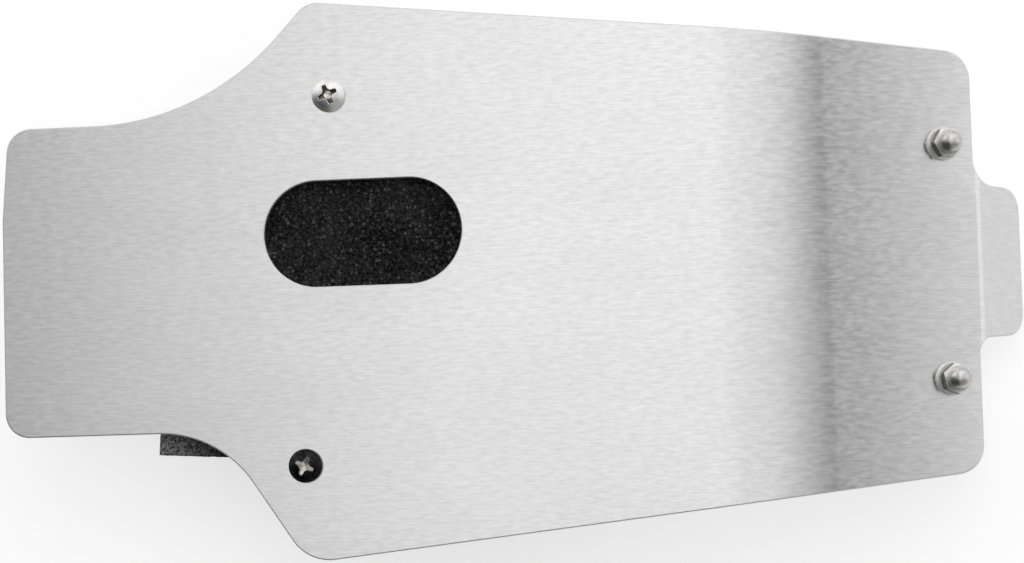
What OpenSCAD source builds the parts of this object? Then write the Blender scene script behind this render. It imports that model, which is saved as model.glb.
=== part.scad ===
// Motorcycle skid plate with its foam pad and frame hardware.
// It lies with its outer face up. +X points to the front of the motorcycle and
// +Y to the left-hand side of the plate as it lies, seen along +X.
// Heights in the modules are counted from the outer face of the flat belly,
// and resting() lifts the whole assembly until its lowest point is at zero.

/* [Sheet] */
// Thickness of the aluminium sheet
sheet_t = 3; // [2:0.5:4]

/* [Tail] */
// Width of the tail
tail_w = 114; // [100:1:124]
// Sideways offset of the tail from the centre line
tail_shift = 2.8; // [0:0.2:5]
// How far the left end of the tail's edge leans forward
tail_lean = 2.6; // [0:0.2:6]
// Distance from the centre line at which that lean starts
tail_lean_y = 26; // [10:1:35]
// Radius of the tail's corners
tail_corner_r = 9; // [4:0.5:12]

/* [Shoulders] */
// Where the left flare would leave the tail if it were sharp
left_flare_x = 76.6; // [70:0.2:84]
// Radius of the left flare
left_flare_r = 95; // [60:1:100]
// Where the right flare would leave the tail if it were sharp
right_flare_x = 79.6; // [72:0.2:84]
// Radius of the right flare
right_flare_r = 42; // [30:1:60]
// Middle of the two shoulder corners
shoulder_x = 113.6; // [110:0.2:120]
// How far the left shoulder lies ahead of that middle, and the right one behind
shoulder_skew = 2; // [0:0.2:4]
// Width of the body at the middle of the shoulders
body_w = 204.4; // [196:0.2:214]
// Radius of the left shoulder
left_shoulder_r = 9; // [5:0.5:14]
// Radius of the right shoulder
right_shoulder_r = 16.4; // [8:0.2:20]

/* [Front] */
// Width of the body at the front edge
front_w = 152; // [130:1:170]
// Radius of the two front corners
front_corner_r = 10.5; // [5:0.5:16]
// Where the large bend starts
bend_x = 262; // [240:1:280]
// Outer radius of the large bend
bend_r = 120; // [80:1:160]
// Angle of the large bend
bend_a = 20; // [12:1:26]
// Length of the flat from that bend to the front edge
front_len = 55.8; // [48:0.2:70]

/* [Tab] */
// Width of the tab at its root
tab_root_w = 56; // [44:0.5:64]
// Width of the tab at its tip
tab_tip_w = 53.6; // [40:0.5:60]
// Length of the flat of the tab
tab_len = 20.4; // [14:0.2:28]
// Distance from the front edge to the start of the tab's bend
tab_bend_gap = 0.4; // [0.2:0.1:3]
// Outer radius of the bend at its root
tab_bend_r = 6; // [5:0.5:10]
// Angle of that bend
tab_a = 25; // [10:1:35]
// Radius of the left corner between the tab and the front edge
tab_left_fillet = 9.6; // [4:0.2:12]
// Radius of the right corner between the tab and the front edge
tab_right_fillet = 5.6; // [3:0.2:12]
// Radius of the corners at the tip
tab_corner_r = 8.4; // [4:0.2:10]

/* [Drain slot] */
// Length of the slot, ends included
slot_len = 72.4; // [60:0.2:84]
// Width of the slot
slot_w = 38.4; // [30:0.2:42]
// Middle of the slot from the tail
slot_x = 134.4; // [128:0.2:142]
// Middle of the slot from the centre line
slot_y = 16.8; // [10:0.2:20]

/* [Foam pad] */
// Thickness of the foam
foam_t = 18; // [10:0.5:22]
// Length of the foam
foam_len = 150; // [136:1:160]
// Width of the foam
foam_w = 124; // [116:1:126]
// Rear edge of the foam from the tail
foam_x = 58; // [50:1:64]
// How far the foam is turned, as it was glued by hand
foam_turn = -3.3; // [-4:0.1:0]
// Diameter of the clearance cut round a screw
foam_cut_d = 10; // [8:0.5:14]

/* [Screws] */
// Nominal diameter of every thread
thread_d = 6; // [5:1:8]
// Clearance of a drilled hole over its thread, on the diameter
hole_clear = 0.6; // [0.3:0.1:1]
// Left screw from the tail
left_screw_x = 123.3; // [116:0.1:130]
// Right screw from the tail
right_screw_x = 111.6; // [108:0.1:118]
// Distance of each screw from the centre line
screw_y = 67.2; // [66:0.2:72]
// Diameter of the pan head
head_d = 12.2; // [10:0.2:14]
// Height of the pan head
head_h = 4.2; // [3:0.1:5]
// Radius of the head's dome
head_dome_r = 8.4; // [7:0.2:12]
// Width across the cross recess
recess_w = 7; // [5:0.1:8]
// Thickness of one wing of the recess
recess_t = 1.5; // [1:0.1:2]
// Depth of the recess
recess_depth = 2.6; // [1.5:0.1:3]
// Turn of the left recess
left_recess_a = 23; // [0:1:89]
// Turn of the right recess
right_recess_a = 64; // [0:1:89]
// How far a screw or rod stands out past its nut
thread_out = 2; // [1:0.5:4]

/* [Rear claws] */
// Diameter of the frame rail that the claws hold
rail_d = 25.4; // [22:0.2:28]
// Thickness of the claw strip
strip_t = 4; // [3:0.5:5]
// Width of the claw strip
strip_w = 18; // [16:0.5:24]
// Radius of the strip's bends, to the middle of the strip
strip_bend_r = 5; // [4:0.5:7]
// Flat length of the web on each side of the screw
web_half = 7; // [7:0.5:9]
// Height of the web's middle over the rail's middle
web_rise = 2; // [0:0.5:4]
// Angle that the saddle wraps round the rail
saddle_wrap = 150; // [125:1:165]
// Clearance between a rail and what holds it
rail_gap = 0.3; // [0.1:0.1:1]

/* [Front hooks] */
// Diameter of the frame tube that the hooks hold
tube_d = 22.2; // [19:0.2:26]
// Distance of each hook from the end of the large bend
hook_x = 44.4; // [38:0.2:46]
// Distance of each hook from the centre line
hook_y = 42.6; // [38:0.2:48]
// Length of the hook's straight tip
hook_tip = 6; // [3:0.5:8]

/* [Washers and nuts] */
// Diameter of a washer
washer_d = 12; // [11:0.5:14]
// Thickness of a washer
washer_t = 1.4; // [0.8:0.1:2]
// Width across the flats of a nut
nut_w = 10; // [9:0.5:13]
// Height of a lock nut's hexagon
nut_h = 5; // [4:0.5:7]
// Height of a cap nut's hexagon
cap_hex_h = 4.4; // [4:0.2:6]
// Turn of the left cap nut
left_cap_a = 0; // [0:1:59]
// Turn of the right cap nut
right_cap_a = 40; // [0:1:59]
// Radial clearance between a thread and its nut
thread_gap = 0.05; // [0.02:0.01:0.2]
// Diameter of the cap nut's collar
collar_d = 9.4; // [9:0.1:10]
// Height of the cap nut's collar
collar_h = 0.5; // [0.3:0.1:2]
// Diameter of the cap nut's dome
dome_d = 8.6; // [8:0.1:9]
// Height of the straight wall under the dome
dome_wall_h = 0.7; // [0.5:0.1:3]
// Height of the lock nut's round crown
crown_h = 2.6; // [2:0.1:4]
// Diameter of the lock nut's round crown
crown_d = 9.4; // [9:0.1:10]
// Height of the plastic ring in that crown
ring_h = 1.6; // [1:0.1:2]
// Outer diameter of the plastic ring
ring_d = 8; // [7.6:0.1:8.4]

/* [Hidden] */
$fn = 96;

// How far a cutting shape runs past what it cuts
over = 5;
// How far a corner's cutting shape runs past the corner's edges
web_over = 0.6;
// How much a rounding circle is enlarged, so that it crosses the edges it runs into
arc_nudge = 0.002;
// Height of the chamfer on a nut and at the end of a thread
chamfer_h = 0.7;
// Radius of the flat ring at a nut's ends, as a share of half its width across the flats
nut_end_share = 0.97;
// Radial room round the thread in the mouth of a lock nut's crown
mouth_gap = 0.5;
// Room between the end of a hook's rod and the end of the cap nut's bore
cap_room = 0.6;
// Width of the cross recess at its bottom, as a share of its width at the top
recess_bottom_share = 0.5;
// The dome of a cap nut is a quarter circle on its profile
dome_r = dome_d / 2;

// End of the large bend, on the outer face
front_x0 = bend_x + bend_r * sin(bend_a);
front_z0 = -bend_r * (1 - cos(bend_a));
// Start and end of the tab's bend in the front flat's own plane
tab_bend_x = front_len + tab_bend_gap;
tab_x0 = tab_bend_x + tab_bend_r * sin(tab_a);
tab_z0 = -tab_bend_r * (1 - cos(tab_a));
// Tip of the tab and slope of its sides, in that same plane
tip_x = tab_x0 + tab_len * cos(tab_a);
tab_slope = (tab_root_w - tab_tip_w) / 2 / (tip_x - front_len);
// Front edge in plan, and the whole length
front_x = front_x0 + front_len * cos(bend_a);
front_z = front_z0 - front_len * sin(bend_a);
total_x = front_x0 + tab_bend_x * cos(bend_a)
  + tab_bend_r * (sin(bend_a + tab_a) - sin(bend_a)) + tab_len * cos(bend_a + tab_a);
// Slope of each side of the body in plan
side_slope = (body_w - front_w) / 2 / (front_x - shoulder_x);

// Rear rail and claws, with distances counted outboard from the centre line
rail_r = rail_d / 2;
rail_z = -(sheet_t + foam_t + rail_gap + rail_r);
web_z = rail_z + web_rise;
saddle_r = rail_r + rail_gap + strip_t / 2;
web_inner = screw_y - web_half;
leg_y = screw_y + web_half + strip_bend_r;
crest_drop = strip_bend_r - web_rise;
crest_a = asin(crest_drop / (strip_bend_r + saddle_r));
rail_y = web_inner - (strip_bend_r + saddle_r) * cos(crest_a);
web_under = web_z - strip_t / 2;
screw_len = -web_under + washer_t + nut_h + crown_h + thread_out;

// Front tube and hooks, in the front flat's own plane
rod_r = thread_d / 2;
hook_r = tube_d / 2 + rail_gap + rod_r;
tube_z = -(sheet_t + tube_d / 2);
rod_top = washer_t + cap_hex_h + collar_h + dome_wall_h - cap_room;

// Lowest points of the hooks and of the claws
hook_low = front_z0 - hook_x * sin(bend_a) + (tube_z - hook_r) * cos(bend_a) - rod_r;
claw_low = rail_z - saddle_r - strip_t / 2;
lift = -min(hook_low, claw_low);

// Half width of the body at a distance from the tail
function half_w(x) = body_w / 2 - side_slope * (x - shoulder_x);
// A vertex of an outline, with the radius of its corner
function corner(x, y, r = 0) = [x, y, r];
function unit(v) = v / norm(v);
function xy(v) = [v[0], v[1]];
function turn(a, b) = a[0] * b[1] - a[1] * b[0];

// Centre of the arc that rounds a corner, and the point where it leaves an edge
function arc_centre(before, at, after) =
  let (a = unit(xy(before) - xy(at)), b = unit(xy(after) - xy(at)))
  xy(at) + unit(a + b) * at[2] / sin(acos(a * b) / 2);
function arc_end(other, at, centre) =
  let (a = unit(xy(other) - xy(at)))
  xy(at) + a * ((centre - xy(at)) * a);

// Area between a sharp corner and the arc that rounds it
module corner_web(before, at, after) {
  r = at[2];
  centre = arc_centre(before, at, after);
  reach = 1 + web_over / r;
  difference() {
    polygon([
      centre,
      centre + (arc_end(before, at, centre) - centre) * reach,
      centre + (xy(at) - centre) * reach,
      centre + (arc_end(after, at, centre) - centre) * reach
    ]);
    translate(centre) circle(r + arc_nudge);
  }
}

// Outline with round corners, from vertices that run anticlockwise.
// A hollow corner is first cut across, and its circle is then taken away.
module rounded_outline(v) {
  n = len(v);
  function before(i) = v[(i + n - 1) % n];
  function after(i) = v[(i + 1) % n];
  function is_hollow(i) = turn(xy(v[i]) - xy(before(i)), xy(after(i)) - xy(v[i])) < 0;
  centres = [for (i = [0 : n - 1]) arc_centre(before(i), v[i], after(i))];
  difference() {
    polygon([
      for (i = [0 : n - 1])
        for (other = is_hollow(i) ? [before(i), after(i)] : [v[i]])
          is_hollow(i) ? arc_end(other, v[i], centres[i]) : xy(other)
    ]);
    for (i = [0 : n - 1])
      if (is_hollow(i)) translate(centres[i]) circle(v[i][2] + arc_nudge);
      else if (v[i][2] > 0) corner_web(before(i), v[i], after(i));
  }
}

// Part of a ring between two angles that are less than 180 degrees apart
module ring_sector(r_in, r_out, a0, a1) {
  far = 2 * r_out;
  mid = (a0 + a1) / 2;
  intersection() {
    difference() {
      circle(r_out);
      circle(r_in);
    }
    polygon([
      [0, 0],
      [far * cos(a0), far * sin(a0)],
      [far * cos(mid), far * sin(mid)],
      [far * cos(a1), far * sin(a1)]
    ]);
  }
}

// Places for the pieces
module resting() translate([-total_x / 2, 0, lift]) children();

module on_front() translate([front_x0, 0, front_z0]) rotate([0, bend_a, 0]) children();

module on_tab() on_front() translate([tab_x0, 0, tab_z0]) rotate([0, tab_a, 0]) children();

module at_hook(side) on_front() translate([hook_x, side * hook_y, 0]) children();

module at_screw(side) {
  x = side > 0 ? left_screw_x : right_screw_x;
  translate([x, side * screw_y, 0]) children();
}

// Section point given in the front flat's own plane, as a point of the whole section
function front_point(x, z) = [
  front_x0 + x * cos(bend_a) + z * sin(bend_a),
  front_z0 - x * sin(bend_a) + z * cos(bend_a)
];

// Corner of the section at a bend, on the face that lies a depth below the outer one
function bend_corner(depth) =
  corner(bend_x + (bend_r - depth) * tan(bend_a / 2), -depth, bend_r - depth);
function tab_corner(depth) =
  let (p = front_point(tab_bend_x + (tab_bend_r - depth) * tan(tab_a / 2), -depth))
  corner(p[0], p[1], tab_bend_r - depth);
function tip_corner(depth) =
  let (p = front_point(tab_x0 + tab_len * cos(tab_a) - depth * sin(tab_a),
    tab_z0 - tab_len * sin(tab_a) - depth * cos(tab_a)))
  corner(p[0], p[1]);

// Section of the bent sheet along its length
module side_profile() {
  rounded_outline([
    corner(-over, -sheet_t), bend_corner(sheet_t), tab_corner(sheet_t), tip_corner(sheet_t),
    tip_corner(0), tab_corner(0), bend_corner(0), corner(-over, 0)
  ]);
}

// Tail, flares, shoulders and tapered sides in plan, open past the front edge
module plan_outline() {
  left_tail = tail_w / 2 + tail_shift;
  right_tail = tail_w / 2 - tail_shift;
  left_x = shoulder_x + shoulder_skew;
  right_x = shoulder_x - shoulder_skew;
  end_x = total_x + over;
  rounded_outline([
    corner(0, tail_lean_y),
    corner(0, -right_tail, tail_corner_r),
    corner(right_flare_x, -right_tail, right_flare_r),
    corner(right_x, -half_w(right_x), right_shoulder_r),
    corner(end_x, -half_w(end_x)),
    corner(end_x, half_w(end_x)),
    corner(left_x, half_w(left_x), left_shoulder_r),
    corner(left_flare_x, left_tail, left_flare_r),
    corner(tail_lean, left_tail, tail_corner_r)
  ]);
}

// What is cut away ahead of the front edge, in the front flat's own plane
module front_waste() {
  root = tab_root_w / 2;
  tip = tab_tip_w / 2;
  left_root = corner(front_len, root, tab_left_fillet);
  right_root = corner(front_len, -root, tab_right_fillet);
  past = tip - tab_slope * over;
  difference() {
    translate([front_len, -body_w / 2]) square([tip_x - front_len + over, body_w]);
    polygon([
      [front_len - over, root], [front_len - over, -root], [front_len, -root],
      [tip_x + over, -past], [tip_x + over, past], [front_len, root]
    ]);
    corner_web([front_len, body_w], left_root, [tip_x, tip, 0]);
    corner_web([front_len, -body_w], right_root, [tip_x, -tip, 0]);
  }
}

// The two front corners, in the front flat's own plane
module front_corners() {
  edge = corner(front_len, front_w / 2, front_corner_r);
  back = [0, front_w / 2 + front_len * side_slope * cos(bend_a)];
  for (side = [0, 1])
    mirror([0, side, 0]) corner_web(back, edge, [front_len, 0]);
}

// The two corners of the tab's tip, in the tab's own plane
module tip_corners() {
  half = tab_tip_w / 2;
  back = [0, half + tab_slope * cos(tab_a) * tab_len];
  for (side = [0, 1])
    mirror([0, side, 0])
      corner_web(back, corner(tab_len, half, tab_corner_r), [tab_len, 0]);
}

// A cutting prism that runs through the sheet and past both of its faces
module through(depth = sheet_t)
  translate([0, 0, -depth - over]) linear_extrude(depth + 2 * over) children();

module obround(length, width) {
  straight = length - width;
  square([straight, width], center = true);
  for (side = [-1, 1])
    translate([side * straight / 2, 0]) circle(d = width);
}

module plate() color("gainsboro") resting() {
  deep = -front_z + tab_len + 2 * over;
  difference() {
    intersection() {
      rotate([90, 0, 0])
        linear_extrude(body_w + 4 * over, center = true) side_profile();
      translate([0, 0, -deep]) linear_extrude(deep + over) plan_outline();
    }
    on_front() through(tab_len) front_waste();
    on_front() through() front_corners();
    on_tab() through() tip_corners();
    translate([slot_x, slot_y]) through() obround(slot_len, slot_w);
    for (side = [-1, 1]) {
      at_screw(side) through() circle(d = thread_d + hole_clear);
      at_hook(side) through() circle(d = thread_d + hole_clear);
    }
  }
}

// Foam block glued to the inner face, cut away round the two screws
module foam_pad() color([0.12, 0.12, 0.12]) resting() {
  difference() {
    translate([foam_x, 0, -sheet_t - foam_t])
      rotate([0, 0, foam_turn]) linear_extrude(foam_t)
        translate([0, -foam_w / 2]) square([foam_len, foam_w]);
    for (side = [-1, 1])
      at_screw(side) through(sheet_t + foam_t) circle(d = foam_cut_d);
  }
}

// Thread from the origin downwards, with a chamfered end
module thread(length) {
  tip_r = thread_d / 2 - chamfer_h;
  translate([0, 0, -length + chamfer_h]) cylinder(d = thread_d, h = length - chamfer_h);
  translate([0, 0, -length]) cylinder(r1 = tip_r, r2 = thread_d / 2, h = chamfer_h);
}

// Cross recess that narrows towards its bottom
module cross_recess(turn_a) {
  translate([0, 0, head_h - recess_depth]) rotate([0, 0, turn_a]) intersection() {
    union() {
      translate([-recess_w / 2, -recess_t / 2, 0]) cube([recess_w, recess_t, head_h]);
      translate([-recess_t / 2, -recess_w / 2, 0]) cube([recess_t, recess_w, head_h]);
    }
    cylinder(d1 = recess_w * recess_bottom_share, d2 = recess_w, h = recess_depth);
  }
}

// Pan-head screw that stands on the outer face
module pan_screw(turn_a) {
  difference() {
    union() {
      rotate_extrude() intersection() {
        square([head_d / 2, head_h]);
        translate([0, head_h - head_dome_r]) circle(head_dome_r);
      }
      thread(screw_len);
    }
    cross_recess(turn_a);
  }
}

module left_screw() color("silver") resting() at_screw(1) pan_screw(left_recess_a);

module right_screw() color([0.2, 0.2, 0.2]) resting() at_screw(-1) pan_screw(right_recess_a);

// Section of a claw, drawn outboard to the right: leg, web, crest and saddle
module claw_profile() {
  half = strip_t / 2;
  inner = strip_bend_r - half;
  outer = strip_bend_r + half;
  leg_z = web_z + strip_bend_r;
  end_a = -crest_a - saddle_wrap;
  mid_a = (end_a - crest_a) / 2;
  translate([leg_y - half, leg_z]) square([strip_t, -sheet_t - leg_z]);
  translate([leg_y - strip_bend_r, leg_z]) ring_sector(inner, outer, -90, 0);
  translate([web_inner, web_z - half]) square([2 * web_half, strip_t]);
  translate([web_inner, web_z - strip_bend_r]) ring_sector(inner, outer, 90, 180 - crest_a);
  translate([rail_y, rail_z]) {
    ring_sector(saddle_r - half, saddle_r + half, end_a, mid_a);
    ring_sector(saddle_r - half, saddle_r + half, mid_a, -crest_a);
  }
}

// Formed steel claw that hooks over a rail from its outboard side
module claw() {
  difference() {
    translate([-strip_w / 2, -screw_y, 0]) rotate([90, 0, 90])
      linear_extrude(strip_w) claw_profile();
    translate([0, 0, web_z]) cylinder(d = thread_d + hole_clear, h = 2 * strip_t, center = true);
  }
}

module left_claw() color("dimgray") resting() at_screw(1) claw();

module right_claw() color("dimgray") resting() at_screw(-1) mirror([0, 1, 0]) claw();

// Flat washer that stands on the origin
module washer() {
  difference() {
    cylinder(d = washer_d, h = washer_t);
    translate([0, 0, -over]) cylinder(d = thread_d + hole_clear, h = washer_t + 2 * over);
  }
}

// Hexagon with both of its ends chamfered
module hexagon(height) {
  corner_r = nut_w / 2 / cos(30);
  flat_r = nut_w / 2 * nut_end_share;
  intersection() {
    cylinder(r = corner_r, h = height, $fn = 6);
    union() {
      cylinder(r1 = flat_r, r2 = corner_r, h = chamfer_h);
      translate([0, 0, chamfer_h]) cylinder(r = corner_r, h = height - 2 * chamfer_h);
      translate([0, 0, height - chamfer_h]) cylinder(r1 = corner_r, r2 = flat_r, h = chamfer_h);
    }
  }
}

// Lock nut with a crown that holds a plastic ring
module lock_nut() {
  bore_r = thread_d / 2 + thread_gap;
  difference() {
    union() {
      hexagon(nut_h);
      translate([0, 0, nut_h]) cylinder(d = crown_d, h = crown_h);
    }
    translate([0, 0, -over]) cylinder(r = bore_r, h = nut_h + crown_h + 2 * over);
    translate([0, 0, nut_h]) cylinder(d = ring_d, h = ring_h);
    translate([0, 0, nut_h]) cylinder(r = bore_r + mouth_gap, h = crown_h + over);
  }
}

// Plastic ring of a lock nut
module lock_ring() {
  translate([0, 0, nut_h]) difference() {
    cylinder(d = ring_d - 2 * thread_gap, h = ring_h - thread_gap);
    translate([0, 0, -over]) cylinder(r = thread_d / 2 + thread_gap, h = ring_h + 2 * over);
  }
}

// Place under a claw's web, facing down
module under_web(side, drop = 0)
  at_screw(side) translate([0, 0, web_under - drop]) mirror([0, 0, 1]) children();

module left_claw_washer() color("silver") resting() under_web(1) washer();

module right_claw_washer() color("silver") resting() under_web(-1) washer();

module left_lock_nut() color("silver") resting() under_web(1, washer_t) lock_nut();

module right_lock_nut() color("silver") resting() under_web(-1, washer_t) lock_nut();

module left_lock_ring() color("royalblue") resting() under_web(1, washer_t) lock_ring();

module right_lock_ring() color("royalblue") resting() under_web(-1, washer_t) lock_ring();

// Rod bent into a J, with its thread up and its hook turned inboard
module hook_rod() {
  tip_r = rod_r - chamfer_h;
  translate([0, 0, tube_z]) mirror([0, 0, 1]) thread(rod_top - tube_z);
  translate([0, -hook_r, tube_z]) rotate([0, 0, 90]) rotate([-90, 0, 0])
    rotate_extrude(angle = 180) translate([hook_r, 0]) circle(rod_r);
  translate([0, -2 * hook_r, tube_z]) cylinder(r = rod_r, h = hook_tip - chamfer_h);
  translate([0, -2 * hook_r, tube_z + hook_tip - chamfer_h])
    cylinder(r1 = rod_r, r2 = tip_r, h = chamfer_h);
}

module left_hook() color("silver") resting() at_hook(1) hook_rod();

module right_hook() color("silver") resting() at_hook(-1) mirror([0, 1, 0]) hook_rod();

module left_hook_washer() color("silver") resting() at_hook(1) washer();

module right_hook_washer() color("silver") resting() at_hook(-1) washer();

// Domed cap nut with a blind bore
module cap_nut(turn_a) {
  wall_top = cap_hex_h + collar_h + dome_wall_h;
  difference() {
    union() {
      rotate([0, 0, turn_a]) hexagon(cap_hex_h);
      translate([0, 0, cap_hex_h]) cylinder(d = collar_d, h = collar_h);
      translate([0, 0, cap_hex_h + collar_h]) cylinder(r = dome_r, h = dome_wall_h);
      translate([0, 0, wall_top]) rotate_extrude() intersection() {
        circle(dome_r);
        square(dome_r);
      }
    }
    translate([0, 0, -over]) cylinder(r = thread_d / 2 + thread_gap, h = wall_top + over);
  }
}

module left_cap_nut() color("silver") resting()
  at_hook(1) translate([0, 0, washer_t]) cap_nut(left_cap_a);

module right_cap_nut() color("silver") resting()
  at_hook(-1) translate([0, 0, washer_t]) cap_nut(right_cap_a);

plate();
foam_pad();
left_screw();
right_screw();
left_claw();
right_claw();
left_claw_washer();
right_claw_washer();
left_lock_nut();
right_lock_nut();
left_lock_ring();
right_lock_ring();
left_hook();
right_hook();
left_hook_washer();
right_hook_washer();
left_cap_nut();
right_cap_nut();
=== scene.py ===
"""The looks of the motorcycle skid plate: a brushed sheet with soft rims, foam, and threaded hardware.

Every length is in millimetres, counted as in the part's source: x from the tail, y to the left of the
plate, and z from the outer face of the flat belly. at_rest() turns such a point into the frame's metres.
"""
import math

import bpy
import numpy as np
from mathutils import Matrix, Vector, geometry, noise


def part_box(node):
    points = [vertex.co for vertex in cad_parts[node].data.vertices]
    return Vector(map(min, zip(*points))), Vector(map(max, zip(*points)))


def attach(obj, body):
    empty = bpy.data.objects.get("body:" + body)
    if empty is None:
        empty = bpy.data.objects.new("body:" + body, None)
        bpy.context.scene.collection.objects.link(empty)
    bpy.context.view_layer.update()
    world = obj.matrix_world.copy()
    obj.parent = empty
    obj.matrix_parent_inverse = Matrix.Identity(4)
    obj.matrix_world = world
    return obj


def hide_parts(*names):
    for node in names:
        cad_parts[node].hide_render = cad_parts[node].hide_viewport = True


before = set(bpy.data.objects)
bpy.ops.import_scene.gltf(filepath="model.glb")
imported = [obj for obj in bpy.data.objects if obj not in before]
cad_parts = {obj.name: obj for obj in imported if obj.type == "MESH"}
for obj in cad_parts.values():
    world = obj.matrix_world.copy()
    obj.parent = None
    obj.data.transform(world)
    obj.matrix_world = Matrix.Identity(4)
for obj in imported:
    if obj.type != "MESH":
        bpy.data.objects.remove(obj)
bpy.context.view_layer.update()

MM = 0.001
PLATE_LOW, PLATE_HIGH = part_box("plate")
ORIGIN = Vector((PLATE_LOW.x, 0, PLATE_HIGH.z))

# Sheet
SHEET_T = 3
TAIL_W, TAIL_SHIFT, TAIL_LEAN, TAIL_LEAN_Y, TAIL_R = 114, 2.8, 2.6, 26, 9
LEFT_FLARE_X, LEFT_FLARE_R = 76.6, 95
RIGHT_FLARE_X, RIGHT_FLARE_R = 79.6, 42
SHOULDER_X, SHOULDER_SKEW, BODY_W = 113.6, 2, 204.4
LEFT_SHOULDER_R, RIGHT_SHOULDER_R = 9, 16.4
FRONT_W, FRONT_R, FRONT_LEN = 152, 10.5, 55.8
BEND_X, BEND_R, BEND_A = 262, 120, math.radians(20)
TAB_ROOT_W, TAB_TIP_W, TAB_LEN = 56, 53.6, 20.4
TAB_GAP, TAB_BEND_R, TAB_A = 0.4, 6, math.radians(25)
TAB_LEFT_R, TAB_RIGHT_R, TAB_TIP_R = 9.6, 5.6, 8.4
SLOT_LEN, SLOT_W, SLOT_X, SLOT_Y = 72.4, 38.4, 134.4, 16.8
HOLE_D = 6.6
RIM_R = 0.5
# Points along an edge lie no further apart than these
EDGE_GAP, TIP_GAP, SLOT_GAP = 3, 2.5, 2
HOLE_STEPS = 48
# Two points of the edge are the same place below this, as vectors are single precision
TOUCH = 0.001
# The points of the tab's bend, across it
TAB_ROWS = np.linspace(-26, 26, 27)

# Foam
FOAM_T, FOAM_LEN, FOAM_W, FOAM_X = 18, 150, 124, 58
FOAM_TURN = math.radians(-3.3)
FOAM_CUT_R = 5
# The cut beside the left screw would only graze the edge, so the knife left it straight
SHALLOW_CUT = 1
# The rear end was cut by hand, a little short
FOAM_SHORT = 2
# The dust on the rear end fades out between these distances from the tail
DUST_X = (58, 92)
FOAM_RIM_R, FOAM_GRID, FOAM_MARGIN = 0.6, 1.05, 1.2
# The open cells that the surface sinks into
CELL_SIZE, CELL_DEPTH, CELL_CAP = 2.2, 0.45, 0.8

# Hardware
SCREWS = {"left": (123.3, 67.2), "right": (111.6, -67.2)}
HOOK_X, HOOK_Y = 44.4, 42.6
THREAD_R, THREAD_DEPTH, PITCH, CHAMFER = 3, 0.55, 1, 0.7
HEAD_R, HEAD_H, HEAD_DOME_R = 6.1, 4.2, 8.4
HEAD_EDGE = 0.25
RECESS_HALF, RECESS_DEPTH, RECESS_CORE = 3.5, 2.6, 1.75
RECESS_W, RECESS_TAPER, RECESS_FADE, RECESS_RISE = 1.05, 0.13, 0.32, 0.62
RECESS_TURN = {"left": math.radians(23), "right": math.radians(64)}
RAIL_R, RAIL_GAP, STRIP_T, STRIP_W, STRIP_R = 12.7, 0.3, 4, 18, 5
WEB_HALF, WEB_RISE, SADDLE_WRAP = 7, 2, math.radians(150)
TUBE_R, HOOK_TIP, HOOK_THREAD = 11.1, 6, 26
WASHER_R, WASHER_T, NUT_W, NUT_H, CAP_HEX_H = 6, 1.4, 10, 5, 4.4
CAP_TURN = {"left": 0, "right": math.radians(40)}
COLLAR_R, COLLAR_H, DOME_R, DOME_WALL, CAP_ROOM = 4.7, 0.5, 4.3, 0.7, 0.6
CROWN_R, CROWN_H, RING_R, RING_H, BORE_R = 4.7, 2.6, 4, 1.6, 3.05
THREAD_OUT = 2

# The studio tent
# Its brightness by how nearly a direction points to the dim corner
CORNER_AT = (-0.74, -0.6, 0.3)
CORNER = [(-1, 1.0), (0.52, 1.0), (0.62, 0.6), (0.72, 0.15), (1, 0.08)]
# Its brightness by the lean from straight up towards the front, in degrees, and by how far a direction
# points to the left
ALONG = [(-90, 1.15), (-60, 1.1), (-45, 0.75), (-28, 0.5), (-20, 0.4), (-18, 0.42), (-15.5, 0.66),
         (-13, 0.83), (-10.5, 0.82), (-8, 1.0), (-4, 0.98), (0, 0.96), (3, 0.89), (8, 0.85), (13, 0.83),
         (18, 0.77), (23, 0.69), (28, 0.57), (33, 0.47), (37, 0.35), (40.7, 0.11), (41.6, 0.36),
         (42.3, 0.92), (44, 0.88), (50, 0.91), (70, 0.9), (80, 0.83), (90, 0.745)]
ACROSS = [(-1, 0.6), (-0.64, 0.42), (-0.4, 0.38), (-0.26, 0.58), (-0.12, 0.93), (0, 1.0), (0.2, 1.08),
          (1, 1.1)]

# What follows from those sizes
FRONT_U = BEND_X + BEND_R * BEND_A
FRONT_X0 = BEND_X + BEND_R * math.sin(BEND_A)
FRONT_Z0 = -BEND_R * (1 - math.cos(BEND_A))
TAB_BEND_X = FRONT_LEN + TAB_GAP
TAB_U = FRONT_U + TAB_BEND_X + TAB_BEND_R * TAB_A
TAB_X0 = TAB_BEND_X + TAB_BEND_R * math.sin(TAB_A)
TIP_X = TAB_X0 + TAB_LEN * math.cos(TAB_A)
TAB_SLOPE = (TAB_ROOT_W - TAB_TIP_W) / 2 / (TIP_X - FRONT_LEN)
SIDE_SLOPE = (BODY_W - FRONT_W) / 2 / (FRONT_X0 + FRONT_LEN * math.cos(BEND_A) - SHOULDER_X)
RAIL_Z = -(SHEET_T + FOAM_T + RAIL_GAP + RAIL_R)
SADDLE_R = RAIL_R + RAIL_GAP + STRIP_T / 2
WEB_Z = RAIL_Z + WEB_RISE
CREST_A = math.asin((STRIP_R - WEB_RISE) / (STRIP_R + SADDLE_R))
WEB_UNDER = WEB_Z - STRIP_T / 2
SCREW_LEN = -WEB_UNDER + WASHER_T + NUT_H + CROWN_H + THREAD_OUT
TUBE_Z = -(SHEET_T + TUBE_R)
BEND_MID_R = TUBE_R + RAIL_GAP + THREAD_R
ROD_TOP = WASHER_T + CAP_HEX_H + COLLAR_H + DOME_WALL - CAP_ROOM


# Places

def at_rest(p):
    """A point of the source's own frame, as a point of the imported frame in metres."""
    return ORIGIN + Vector(p) * MM


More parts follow.
